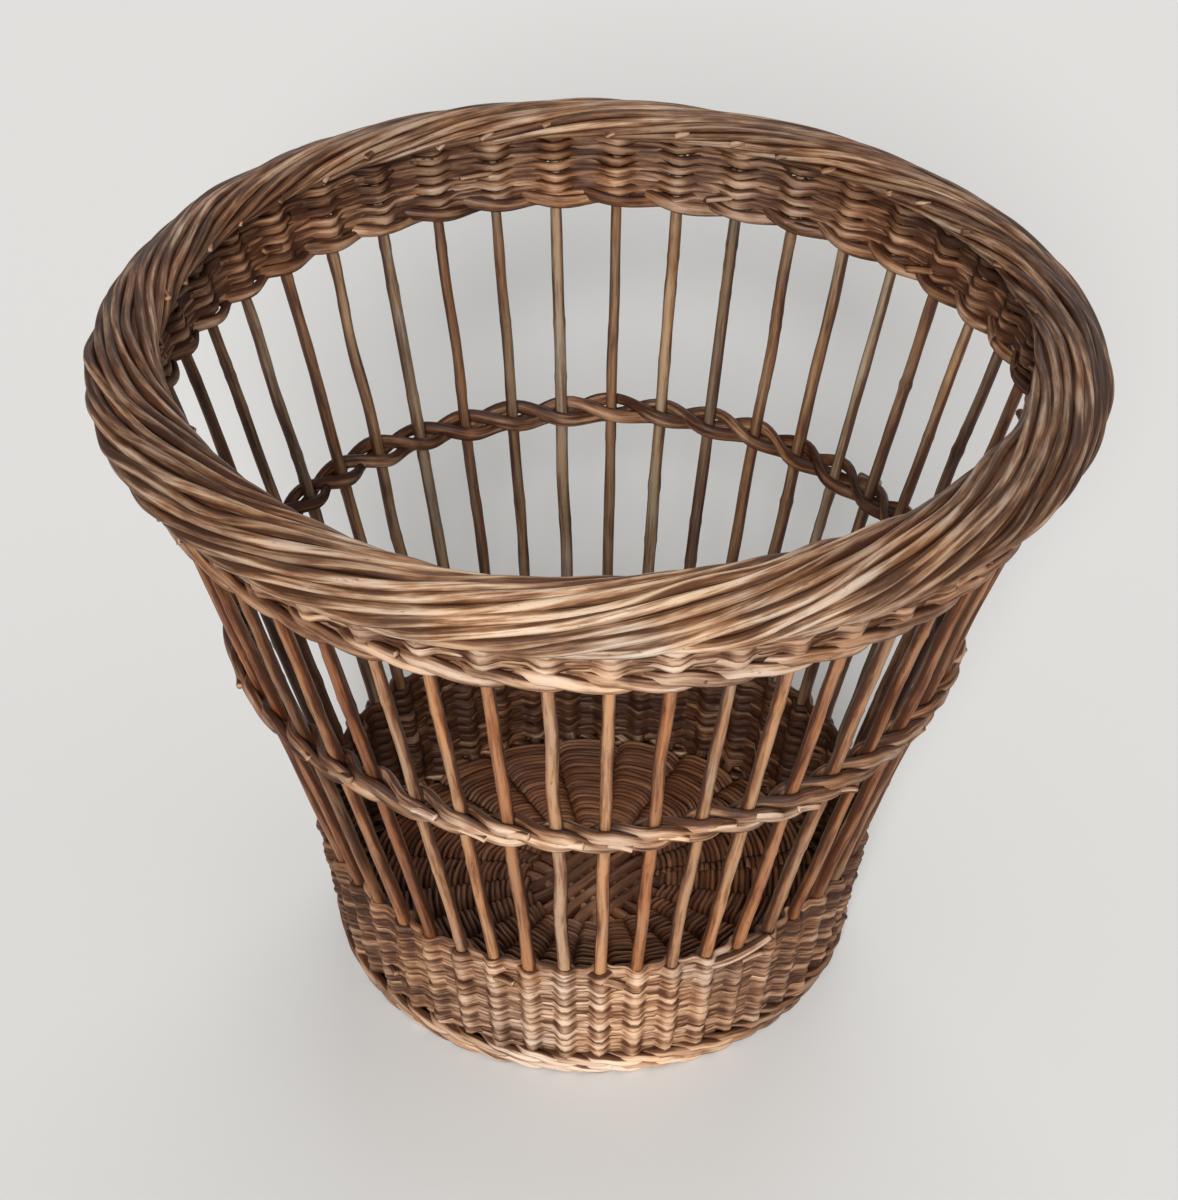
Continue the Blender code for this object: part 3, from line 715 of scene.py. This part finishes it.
def woven_rows(name, start, rows, seed, one_face, bulge_highlight):
    """Rows of thin rods woven in front of one stake and behind the next, in one long rise.

    A rod's distance from the wall is the fifth power of a cosine of half a turn a stake: it
    bends round the stake and lies flat in the wall between two. An odd number of stakes makes
    the next row go the other way. A rod lasts for some stakes and ends behind one, where the
    next begins. It gets a painted highlight where it bulges over a stake and painted shade in the
    dips, as strongly as the bulge highlight says, and painted light that is least at the basket's
    sides.
    """
    rng = np.random.default_rng(seed)
    count = math.ceil((STAKES * rows - 1) / ROW_REACH)
    points = ROW_REACH * ROW_POINTS + 1
    along = np.linspace(-ROW_OVERLAP, ROW_REACH + ROW_OVERLAP, points)
    at = 1 + np.arange(count)[:, None] * ROW_REACH + along
    at = np.minimum(at, STAKES * rows + 1)
    turn = stake_turn(at)
    height = start + ROW_PITCH * (at / STAKES + 0.5)
    height = height + ROW_UP_AND_DOWN * wander(rng, count, points, waves=30)
    swing = (ROW_SWING + ROW_ROD / 2) * np.cos(np.pi * at) ** 5
    swing = swing * (1 + ROW_SWING_VARIES * wander(rng, count, points, waves=14))
    # Painted highlight over the stakes and painted shade between them, times painted light by place.
    painted_bulge_highlight = 1 - ROW_DIP_PAINTED_SHADE * bulge_highlight + bulge_highlight * np.cos(np.pi * at) ** 6
    rub_and_light = painted_bulge_highlight * (ROW_SIDE_PAINTED_LIGHT + ROW_FRONT_PAINTED_LIGHT * np.sin(turn) ** 2)
    paths = ringed(turn, wall_radius(height) + swing, height)
    radii = ROW_ROD / 2 * rng.uniform(*ROW_SIZES, (count, 1))
    radii = radii * (1 + ROW_UNEVEN * wander(rng, count, points, waves=30))
    return willow_rods(
        name, paths, radii, outward(paths), band_willow, rng,
        sides=7, one_face=one_face, tall=ROW_TALL, rub_and_light=rub_and_light,
    )


low_rows = woven_rows(
    "low_band_weave", LOW_BAND_START, LOW_ROWS, seed=33, one_face=True, bulge_highlight=LOW_BULGE_HIGHLIGHT
)
dress(low_rows, "low_band")

END_POINTS = 7
END_PAST_STAKE = 0.05
END_REACHES = (0.42, 0.62)
END_SLOPES = (-0.0035, 0.0030)
END_LEAVES = (0.0010, 0.0024)
END_RADII = (0.0013, 0.0017)
END_TAPER = 0.1


def cut_ends(name, stakes, heights, side, finish, seed, lies=0.0030):
    """Short ends of rods that stand out beside stakes, where one rod stops and the next starts.

    Each starts in the weave just past its stake, a distance from the wall, runs on round the
    basket, and leaves the wall to the outside or the inside by the square of its share.
    """
    rng = np.random.default_rng(seed)
    count = len(stakes)
    share = np.linspace(0, 1, END_POINTS)
    reach = rng.uniform(*END_REACHES, (count, 1))
    turn = stake_turn(np.array(stakes)[:, None] + END_PAST_STAKE + reach * share)
    height = rng.uniform(*heights, (count, 1)) + rng.uniform(*END_SLOPES, (count, 1)) * share
    away = lies + rng.uniform(*END_LEAVES, (count, 1)) * share ** 2
    paths = ringed(turn, wall_radius(height) + side * away, height)
    radii = rng.uniform(*END_RADII, (count, 1)) * (1 - END_TAPER * share)
    return willow_rods(name, paths, radii, outward(paths) * side, finish, rng)


low_ends = cut_ends(
    "low_band_ends", stakes=(3, 9, 14, 20, 26, 30, 33, 37, 42), heights=(0.018, 0.052), side=1,
    finish=pale_willow, seed=34,
)
dress(low_ends, "low_band")


LOOSE_POINTS = 14
LOOSE_FROM = -66  # degrees
LOOSE_SPAN = 12
LOOSE_HEIGHT = 0.0515
LOOSE_RISE = 0.0065
LOOSE_LIES = 0.0022
LOOSE_SWELL = 0.0026
LOOSE_BEND = 1.7
LOOSE_RADIUS = 0.0021
LOOSE_TAPER = 0.0007


def loose_rod():
    """One thick pale end that has come out over the band's upper edge, at the right front. It
    rises by the 1.5th power of its share, swells out of the wall with a sine and tapers."""
    rng = np.random.default_rng(35)
    share = np.linspace(0, 1, LOOSE_POINTS)
    turn = np.radians(LOOSE_FROM + LOOSE_SPAN * share)
    height = LOOSE_HEIGHT + LOOSE_RISE * share ** 1.5
    away = LOOSE_LIES + LOOSE_SWELL * np.sin(LOOSE_BEND * share)
    path = ringed(turn, wall_radius(height) + away, height)[None]
    radius = (LOOSE_RADIUS - LOOSE_TAPER * share)[None]
    return willow_rods("low_band_loose_rod", path, radius, outward(path), pale_willow, rng)


dress(loose_rod(), "low_band")

# Middle waling. One round of three pale rods holds the open stakes apart halfway up, each rod
# in front of two stakes and behind the third. The rods' cut ends stand out between the stakes.

MID_SWAY = (
    (-150, 0.5), (-125, 2.2), (-108, -1.8), (-93, -3.2), (-75, -0.4), (-45, 2.0), (-20, 1.5),
    (10, -1.0), (35, -2.4), (62, 0.4), (90, 1.2), (112, -0.6), (135, 0.6), (160, -1.0), (185, 0.8),
)
WALE_TALL = 1.62

wale_rods(
    ("mid_wale_rod_a", "mid_wale_rod_b", "mid_wale_rod_c"),
    ("mid_wale_a", "mid_wale_b", "mid_wale_c"),
    pale_willow, seed=41, middle=MID_WALE, thickness=0.0034, rise=0.0026, touch=0.0039,
    sway=MID_SWAY, loose=0.0009, tall=WALE_TALL, rub_and_light=0.82, joins=15,
)
mid_ends = cut_ends(
    "mid_wale_ends",
    stakes=(4, 12, 19, 23, 26, 27, 29, 30, 31, 32, 33, 34, 35, 36, 37, 38, 40, 43),
    heights=(0.1352, 0.1412), side=1, finish=foot_willow, seed=42, lies=0.0045,
)
dress(mid_ends, "mid_wale_a")

# Upper band. It starts with another round of waling and goes on in thin rods up to the border.
# Both of its faces show, so both are rubbed paler and have painted highlights where they bulge
# over stakes, and here and there a rod's cut end stands out.

UPPER_ROWS = 14
UPPER_BAND_START = 0.2198
UPPER_BULGE_HIGHLIGHT = 0.62

wale_rods(
    ("upper_wale_rod_a", "upper_wale_rod_b", "upper_wale_rod_c"),
    ("upper_wale_a", "upper_wale_b", "upper_wale_c"),
    pale_willow, seed=51, middle=0.2196, thickness=0.0031, rise=0.0018, touch=0.0037,
    tall=WALE_TALL,
)
upper_rows = woven_rows(
    "upper_band_weave", UPPER_BAND_START, UPPER_ROWS, seed=52, one_face=False, bulge_highlight=UPPER_BULGE_HIGHLIGHT
)
dress(upper_rows, "upper_band")
outer_ends = cut_ends(
    "upper_band_outer_ends", stakes=(1, 7, 24, 29, 34, 39, 44), heights=(0.2190, 0.2300), side=1,
    finish=pale_willow, seed=53,
)
dress(outer_ends, "upper_band")
inner_ends = cut_ends(
    "upper_band_inner_ends", stakes=range(0, 44, 4), heights=(0.2230, 0.2340), side=-1,
    finish=pale_willow, seed=54,
)
dress(inner_ends, "upper_band")

# Border. The stakes' ends are bent down and laid round the rim in a thick roll: each rod climbs
# from low on the outside over the top and dives in on the inside, where its thin tip is cut off.

BORDER_RADIUS = 0.15692
BORDER_HEIGHT = 0.24799
BORDER_LONG = 0.0140
BORDER_SHORT = 0.0075
BORDER_TILT = math.radians(25)
BORDER_PINCH = 0.0035
PINCH_PLACE = -107  # degrees
PINCH_WIDTH = 17
SECTION_STEPS = 721
BORDER_SWAY = (
    (-180, -0.3), (-150, 0.4), (-115, -0.9), (-100, -1.0), (-80, 0.0), (-40, 0.3), (0, -0.4),
    (35, -1.4), (65, -1.2), (90, 0.1), (115, 0.7), (145, 0.6),
)
CORE_STEPS = 240
CORE_SIDES = 16
CORE_DEPTH = 0.62  # of a laid rod's thickness
CORE_GIRTH = 0.06
# Low, so the core takes the grime and painted shade colour in the roll's gaps.
CORE_WEAR_AND_LIGHT = 0.15
CORE_TONES = (0.3, 0.6)
BORDER_ROD = 0.0045
BORDER_TURN = 15.5
BORDER_POINTS = 110
BORDER_FROM = -0.20
BORDER_TO = 0.70
BORDER_STRAYS = 0.011
BORDER_SIZES = (0.90, 1.10)
BORDER_BUTT = 1.06
BORDER_TAPER = 0.34
BORDER_UNEVEN = 0.04
BORDER_IN_AND_OUT = 0.0005
TIP_SHARE = 0.07
TIP_LEAST = 0.12
BURIED_BUTT = 0.0040
BURIED_BUTT_SHARE = 0.06
BURIED_TIP = 0.0025
BURIED_TIP_SHARE = 0.05

border_willow = willow_finish(
    "border_willow", worn_and_lit=(0.62, 0.50, 0.390), skin=(0.30, 0.163, 0.086), grime_and_shade=(0.085, 0.036, 0.016),
    bare=0.57,
)


def border_section(turn, share, depth):
    """Points on the border's tilted oval section, a depth under its surface.

    The share runs once round the section from the outside over the top to the inside, evenly
    by length: the oval's arc length is summed up in small steps and looked up backwards. The
    inner half is pinched a little at the left front, where the border begins and ends, and the
    whole dips or rises by the sway's millimetres at its degrees.
    """
    fine = np.linspace(0, 2 * np.pi, SECTION_STEPS)
    piece = np.hypot(np.diff(BORDER_LONG * np.cos(fine)), np.diff(BORDER_SHORT * np.sin(fine)))
    length = np.r_[0, np.cumsum(piece)]
    angle = np.interp((share % 1) * length[-1], length, fine)
    degrees = (np.degrees(turn) + 180) % 360 - 180
    pinched = np.exp(-((degrees - PINCH_PLACE) / PINCH_WIDTH) ** 2)
    pinch = BORDER_PINCH * pinched * np.maximum(0, -np.cos(angle))
    along = (BORDER_LONG - pinch - depth) * np.cos(angle)
    up = (BORDER_SHORT - depth) * np.sin(angle)
    out = along * math.cos(BORDER_TILT) + up * math.sin(BORDER_TILT)
    rise = up * math.cos(BORDER_TILT) - along * math.sin(BORDER_TILT)
    places, shifts = np.array(BORDER_SWAY, float).T
    sway = np.interp(degrees, places, shifts, period=360) / 1000
    return ringed(turn, BORDER_RADIUS + out, BORDER_HEIGHT + rise + sway)


def away_from_roll(turn, points):
    """Unit vectors from the middle of the roll to the points."""
    away = points - ringed(turn, BORDER_RADIUS, BORDER_HEIGHT)
    return away / np.linalg.norm(away, axis=2, keepdims=True)


def border_core():
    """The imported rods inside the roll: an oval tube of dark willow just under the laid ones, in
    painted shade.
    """
    rng = np.random.default_rng(61)
    turn = np.linspace(0, 2 * np.pi, CORE_STEPS + 1)[:-1, None]
    share = np.arange(CORE_SIDES) / CORE_SIDES
    corners = border_section(turn, share, BORDER_ROD * CORE_DEPTH)
    row = np.arange(CORE_STEPS * CORE_SIDES).reshape(CORE_STEPS, CORE_SIDES)
    on = np.roll(row, -1, 0)
    quads = np.stack([row, on, np.roll(on, -1, 1), np.roll(row, -1, 1)], -1).reshape(-1, 4)
    across, along = np.broadcast_arrays(share * CORE_GIRTH, turn * BORDER_RADIUS)
    marks = {
        "lay": np.stack([across, 0 * across, along], -1).reshape(-1, 3),
        "wear_and_light": np.full(row.size, CORE_WEAR_AND_LIGHT),
        "tone": rng.uniform(*CORE_TONES, row.size),
    }
    return willow_piece("border_core", corners.reshape(-1, 3), quads.tolist(), marks, dark_willow)


def border_rods():
    """The laid rods: the share of the section grows evenly with the way round the rim. Each rod
    gets thinner towards its tip, and both of its ends dive into the roll."""
    rng = np.random.default_rng(62)
    along = np.linspace(0, 1, BORDER_POINTS)
    share = BORDER_FROM + (BORDER_TO - BORDER_FROM) * along
    share = share + BORDER_STRAYS * wander(rng, STAKES, BORDER_POINTS, waves=5)
    steps = (BORDER_TO - BORDER_FROM) * BORDER_TURN * along
    turn = stake_turn(np.arange(STAKES)[:, None] + steps)
    sizes = BORDER_ROD * rng.uniform(*BORDER_SIZES, (STAKES, 1))
    thickness = sizes * (BORDER_BUTT - BORDER_TAPER * along)
    tip = np.clip((1 - along) / TIP_SHARE, TIP_LEAST, 1)
    uneven = BORDER_UNEVEN * wander(rng, STAKES, BORDER_POINTS, waves=10)
    radii = thickness / 2 * tip * (1 + uneven)
    buried = BURIED_BUTT * np.clip(1 - along / BURIED_BUTT_SHARE, 0, 1)
    buried = buried + BURIED_TIP * np.clip(1 - (1 - along) / BURIED_TIP_SHARE, 0, 1)
    pressed = BORDER_IN_AND_OUT * wander(rng, STAKES, BORDER_POINTS, waves=7)
    paths = border_section(turn, share, thickness / 2 + buried + pressed)
    away = away_from_roll(turn, paths)
    return willow_rods(
        "border_laid_rods", paths, radii, away, border_willow, rng, sides=10, one_face=True
    )


STRAY_PLACES = (-149, -146, -144, -131, -112, -61, -38)  # degrees
STRAY_SPANS = (3.0, 5.5)
STRAY_POINTS = 9
STRAY_HEIGHT = 0.2425
STRAY_DROPS = (0.0030, 0.0065)
STRAY_RADIUS = 0.1620
STRAY_LEAVES = (0.0030, 0.0050)
STRAY_RADII = (0.0014, 0.0019)
STRAY_TAPER = 0.25


def border_stray_tips():
    """Tips that stick out under the roll at the left and right, where rods were cut off.

    Each runs round the rim and out, and down from the roll's underside by the 1.5th power of
    its share.
    """
    rng = np.random.default_rng(63)
    starts = np.radians(STRAY_PLACES)[:, None]
    share = np.linspace(0, 1, STRAY_POINTS)
    turn = starts + np.radians(rng.uniform(*STRAY_SPANS, starts.shape)) * share
    height = STRAY_HEIGHT - rng.uniform(*STRAY_DROPS, starts.shape) * share ** 1.5
    radius = STRAY_RADIUS + rng.uniform(*STRAY_LEAVES, starts.shape) * share
    paths = ringed(turn, radius, height)
    radii = rng.uniform(*STRAY_RADII, starts.shape) * (1 - STRAY_TAPER * share)
    return willow_rods("border_stray_tips", paths, radii, outward(paths), border_willow, rng)


PICKED_POINTS = 5
PICKED_SHIFTS = (-0.2, 0.2)  # stakes
PICKED_SPAN = 0.22
PICKED_PLACES = (0.47, 0.60)  # shares of the section
PICKED_LEAN = 0.02
PICKED_DEPTH = 0.0024
PICKED_RISE = 0.0025
PICKED_RADII = (0.0011, 0.0015)
PICKED_BUTT = 1.1
PICKED_TAPER = 0.1


def border_picked_ends():
    """Pale stubs on the roll's inner face, where the tip of each laid rod was cut off.

    Each runs on round the rim, and rises evenly from a depth under the roll's surface up to it.
    """
    rng = np.random.default_rng(64)
    share = np.linspace(0, 1, PICKED_POINTS)
    shift = rng.uniform(*PICKED_SHIFTS, (STAKES, 1))
    turn = stake_turn(np.arange(STAKES)[:, None] + shift + PICKED_SPAN * share)
    around = rng.uniform(*PICKED_PLACES, (STAKES, 1)) + PICKED_LEAN * share
    paths = border_section(turn, around, PICKED_DEPTH - PICKED_RISE * share)
    away = away_from_roll(turn, paths)
    radii = rng.uniform(*PICKED_RADII, (STAKES, 1)) * (PICKED_BUTT - PICKED_TAPER * share)
    return willow_rods("border_picked_ends", paths, radii, away, foot_willow, rng)


dress(border_core(), "border")
dress(border_rods(), "border")
dress(border_stray_tips(), "border")
dress(border_picked_ends(), "border")

# Studio. A wide pale floor, an even soft light from the front with weaker ones from the right and
# from behind, and a pale world: weak where it lights the basket, as pale as the floor where the
# camera sees it.

FLOOR_SIZE = 40
FLOOR_PAPER = (0.75, 0.745, 0.73, 1)
BASKET_MIDDLE = Vector((0, 0, 0.13))
WORLD_COLOUR = (1.0, 0.99, 0.97, 1)
WORLD_LIGHT = 0.25
WORLD_SEEN = 0.74
IMAGE_HEIGHT = 1200
FOCAL_PIXELS = 3120
CAMERA_TILT = math.radians(35.75)
CAMERA_ROLL = math.radians(0.513)
CAMERA_DISTANCE = 1.100
CAMERA_AIM = Vector((-0.00242, 0, 0.14017))

bpy.ops.mesh.primitive_plane_add(size=FLOOR_SIZE)
ground = bpy.context.object
ground.name = "studio_floor"
paper = bpy.data.materials.new("studio_paper")
paper.use_nodes = True
paper_surface = paper.node_tree.nodes["Principled BSDF"].inputs
paper_surface["Base Color"].default_value = FLOOR_PAPER
paper_surface["Roughness"].default_value = 0.9
paper_surface["Specular IOR Level"].default_value = 0.1
ground.data.materials.append(paper)


def soft_light(name, place, spread, strength):
    """Parallel light from a place's side of the basket, as soft as from a screen that looks a
    number of degrees wide."""
    lamp = bpy.data.lights.new(name, "SUN")
    lamp.angle = math.radians(spread)
    lamp.energy = strength
    light = bpy.data.objects.new(name, lamp)
    light.location = place
    light.rotation_euler = (BASKET_MIDDLE - light.location).to_track_quat("-Z", "Y").to_euler()
    bpy.context.scene.collection.objects.link(light)


soft_light("key_light", (-0.25, -2.95, 1.75), spread=19, strength=3.60)
soft_light("fill_light", (1.8, 0.2, 1.8), spread=38, strength=0.18)
soft_light("back_light", (0.4, 2.8, 1.9), spread=40, strength=0.95)

world = bpy.data.worlds.new("studio_world")
world.use_nodes = True
background = world.node_tree.nodes["Background"].inputs
background["Color"].default_value = WORLD_COLOUR
rays = world.node_tree.nodes.new("ShaderNodeLightPath")
glow = world.node_tree.nodes.new("ShaderNodeMapRange")
glow.inputs["To Min"].default_value = WORLD_LIGHT
glow.inputs["To Max"].default_value = WORLD_SEEN
world.node_tree.links.new(rays.outputs["Is Camera Ray"], glow.inputs["Value"])
world.node_tree.links.new(glow.outputs["Result"], background["Strength"])
bpy.context.scene.world = world

camera_data = bpy.data.cameras.new("photo_camera")
camera_data.lens = camera_data.sensor_width * FOCAL_PIXELS / IMAGE_HEIGHT
camera = bpy.data.objects.new("photo_camera", camera_data)
look = Vector((0, math.cos(CAMERA_TILT), -math.sin(CAMERA_TILT)))
level_right = Vector((1, 0, 0))
level_up = level_right.cross(look)
right = level_right * math.cos(CAMERA_ROLL) + level_up * math.sin(CAMERA_ROLL)
up = level_up * math.cos(CAMERA_ROLL) - level_right * math.sin(CAMERA_ROLL)
turned = Matrix((right, up, -look)).transposed().to_4x4()
camera.matrix_world = Matrix.Translation(CAMERA_AIM - look * CAMERA_DISTANCE) @ turned
bpy.context.scene.collection.objects.link(camera)
bpy.context.scene.camera = camera
bpy.context.scene.view_settings.view_transform = "Standard"
